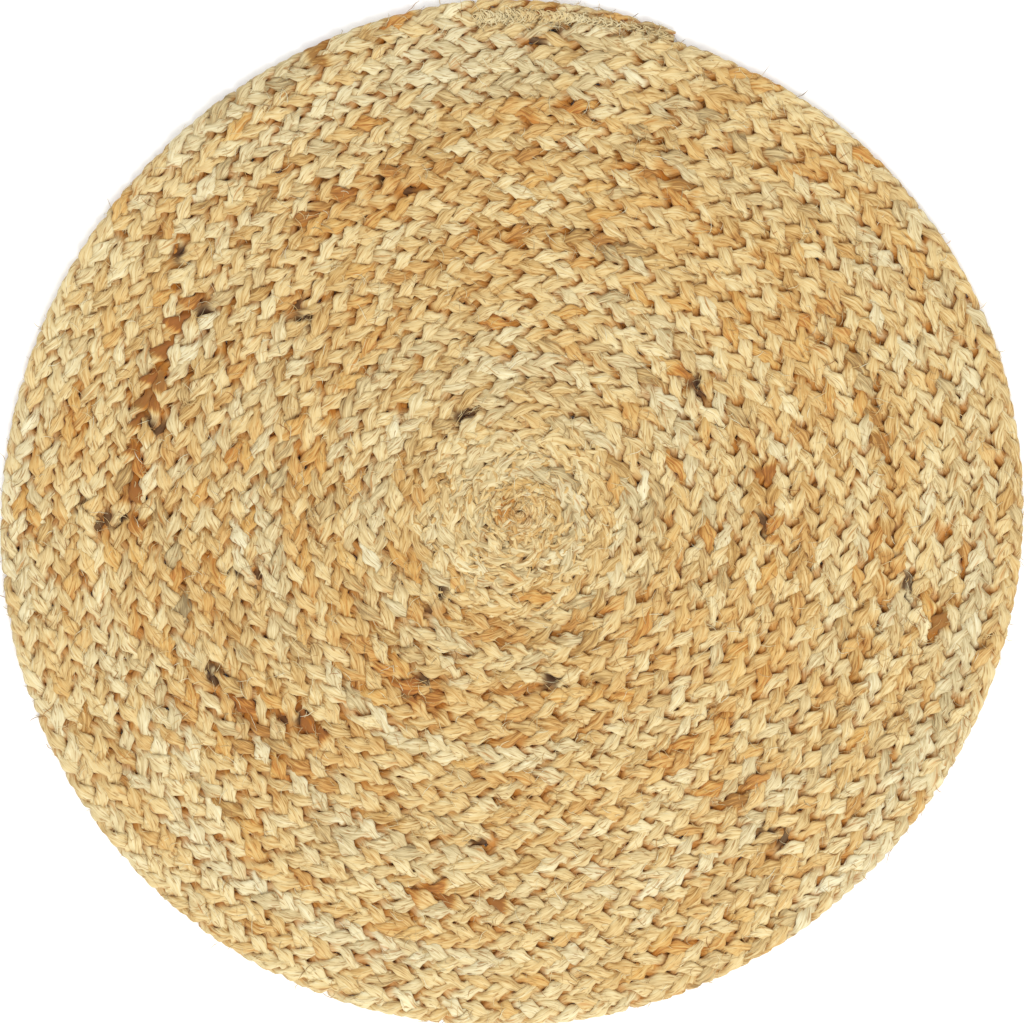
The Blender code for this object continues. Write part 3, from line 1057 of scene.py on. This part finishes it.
# %% More fibres on the hollows and in the middle
PER_HOLLOW = 4
angle = np.radians(np.repeat([a for r, a in HOLLOWS], PER_HOLLOW))
radius = np.repeat([r for r, a in HOLLOWS], PER_HOLLOW) * MM
count = len(angle)
x = CENTRE[0] + radius * np.cos(angle) + rng.normal(0, 3.0, count) * MM
y = CENTRE[1] + radius * np.sin(angle) + rng.normal(0, 3.0, count) * MM
stray(303, x, y, rng.uniform(0, TAU, count), 5, 13)

IN_THE_MIDDLE = 70
angle = rng.uniform(0, TAU, IN_THE_MIDDLE)
radius = 19 * MM * rng.uniform(0, 1, IN_THE_MIDDLE) ** 0.6
x, y = ROSETTE[0] + radius * np.cos(angle), ROSETTE[1] + radius * np.sin(angle)
stray(304, x, y, angle - math.pi / 2 + rng.normal(0, 0.5, IN_THE_MIDDLE), 4, 11)
print("fibres on the hollows and in the middle:", count + IN_THE_MIDDLE)

# %% More fibres on the tail and at the rim
ON_THE_TAIL = 380
turn = turn_at(rng.uniform(tail_start, LENGTH - 6 * MM, ON_THE_TAIL))
across = STITCH_ACROSS + rng.normal(-0.5, 2.4, ON_THE_TAIL) * MM
x, y = plait_point(turn, across, 0 * turn).T[:2]
stray(305, x, y, plait_heading(turn) + rng.uniform(0, TAU, ON_THE_TAIL), 2.5, 7)

AT_THE_RIM = 90
turn = rng.uniform(TURNS - 1, TURNS - TAIL_TURNS, AT_THE_RIM)
x, y = coil_point(turn, PLAIT_WIDTH / 2 - 1 * MM + 0 * turn)
stray(306, x, y, plait_heading(turn) + rng.uniform(0.1, 1.2, AT_THE_RIM), 2, 6)
strays = np.concatenate(strays)
print("stray fibres:", len(strays))

# %% Make the stray fibres
for number, letter in enumerate(STRAND_NAMES):
    own = strays[number::3]
    rng = np.random.default_rng(311 + number)
    thickness = rng.uniform(0.09, 0.22, (len(own), 1)) * MM
    half = tapered(len(own), FIBRE_POINTS) * thickness
    tone = rng.normal(0.58, 0.30, (len(own), 1))
    colours = (tone, rng.normal(0.30, 0.8, (len(own), 1)), 0.0, 0.0)
    name = "stray_fibres_" + letter
    piece = threads(name, own, half, half, FIBRE_SIDES, colours, strand_jute[letter])
    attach(piece, "root")
print("fibres in each of the three pieces, about:", len(own))

# %% [markdown]
# ## Floor, light and camera
#
# The rug lies on a plain pale floor and is seen from straight above. Most of the light is
# the soft light of the room, so the crevices stay readable. One large lamp in front adds a
# direction, so the strands still look round.

# %% Floor
FLOOR_GREY = 0.93
bpy.ops.mesh.primitive_plane_add(size=8, location=(0, 0, 0))
floor = bpy.context.object
floor.name = "floor"
paper = bpy.data.materials.new("pale_floor")
paper.use_nodes = True
shader = paper.node_tree.nodes["Principled BSDF"]
shader.inputs["Base Color"].default_value = (FLOOR_GREY, FLOOR_GREY, FLOOR_GREY, 1)
shader.inputs["Roughness"].default_value = 0.9
floor.data.materials.append(paper)
print("side of the floor, m:", floor.dimensions.x)

# %% Light
ROOM_LIGHT = 1.15
LAMP_WATTS = 50
LAMP_SIZE = 1.6
LAMP_PLACE = (0.5, -1.7, 2.4)
LAMP_TILT, LAMP_TURN = math.radians(35), math.radians(16)
world = bpy.data.worlds.new("soft_room")
world.use_nodes = True
background = world.node_tree.nodes["Background"]
background.inputs["Color"].default_value = (1, 1, 1, 1)
background.inputs["Strength"].default_value = ROOM_LIGHT
bpy.context.scene.world = world
bpy.ops.object.light_add(type="AREA", location=LAMP_PLACE)
lamp = bpy.context.object
lamp.name = "soft_box"
lamp.data.size = LAMP_SIZE
lamp.data.energy = LAMP_WATTS
lamp.rotation_euler = (LAMP_TILT, 0, LAMP_TURN)
print("light of the room:", ROOM_LIGHT, " lamp, W:", LAMP_WATTS)

# %% Camera
# The view is VIEW_WIDTH wide at VIEW_HEIGHT above the floor, in metres.
CAMERA_HEIGHT = 3
VIEW_HEIGHT = 0.005
VIEW_WIDTH = 0.6033
SENSOR = 36
bpy.ops.object.camera_add(location=(0, 0, CAMERA_HEIGHT))
camera = bpy.context.object
camera.data.sensor_width = SENSOR
camera.data.lens = SENSOR * (CAMERA_HEIGHT - VIEW_HEIGHT) / VIEW_WIDTH
camera.data.clip_end = 20
bpy.context.scene.camera = camera
bpy.context.scene.view_settings.view_transform = "Standard"
print("lens, mm:", round(camera.data.lens, 1))
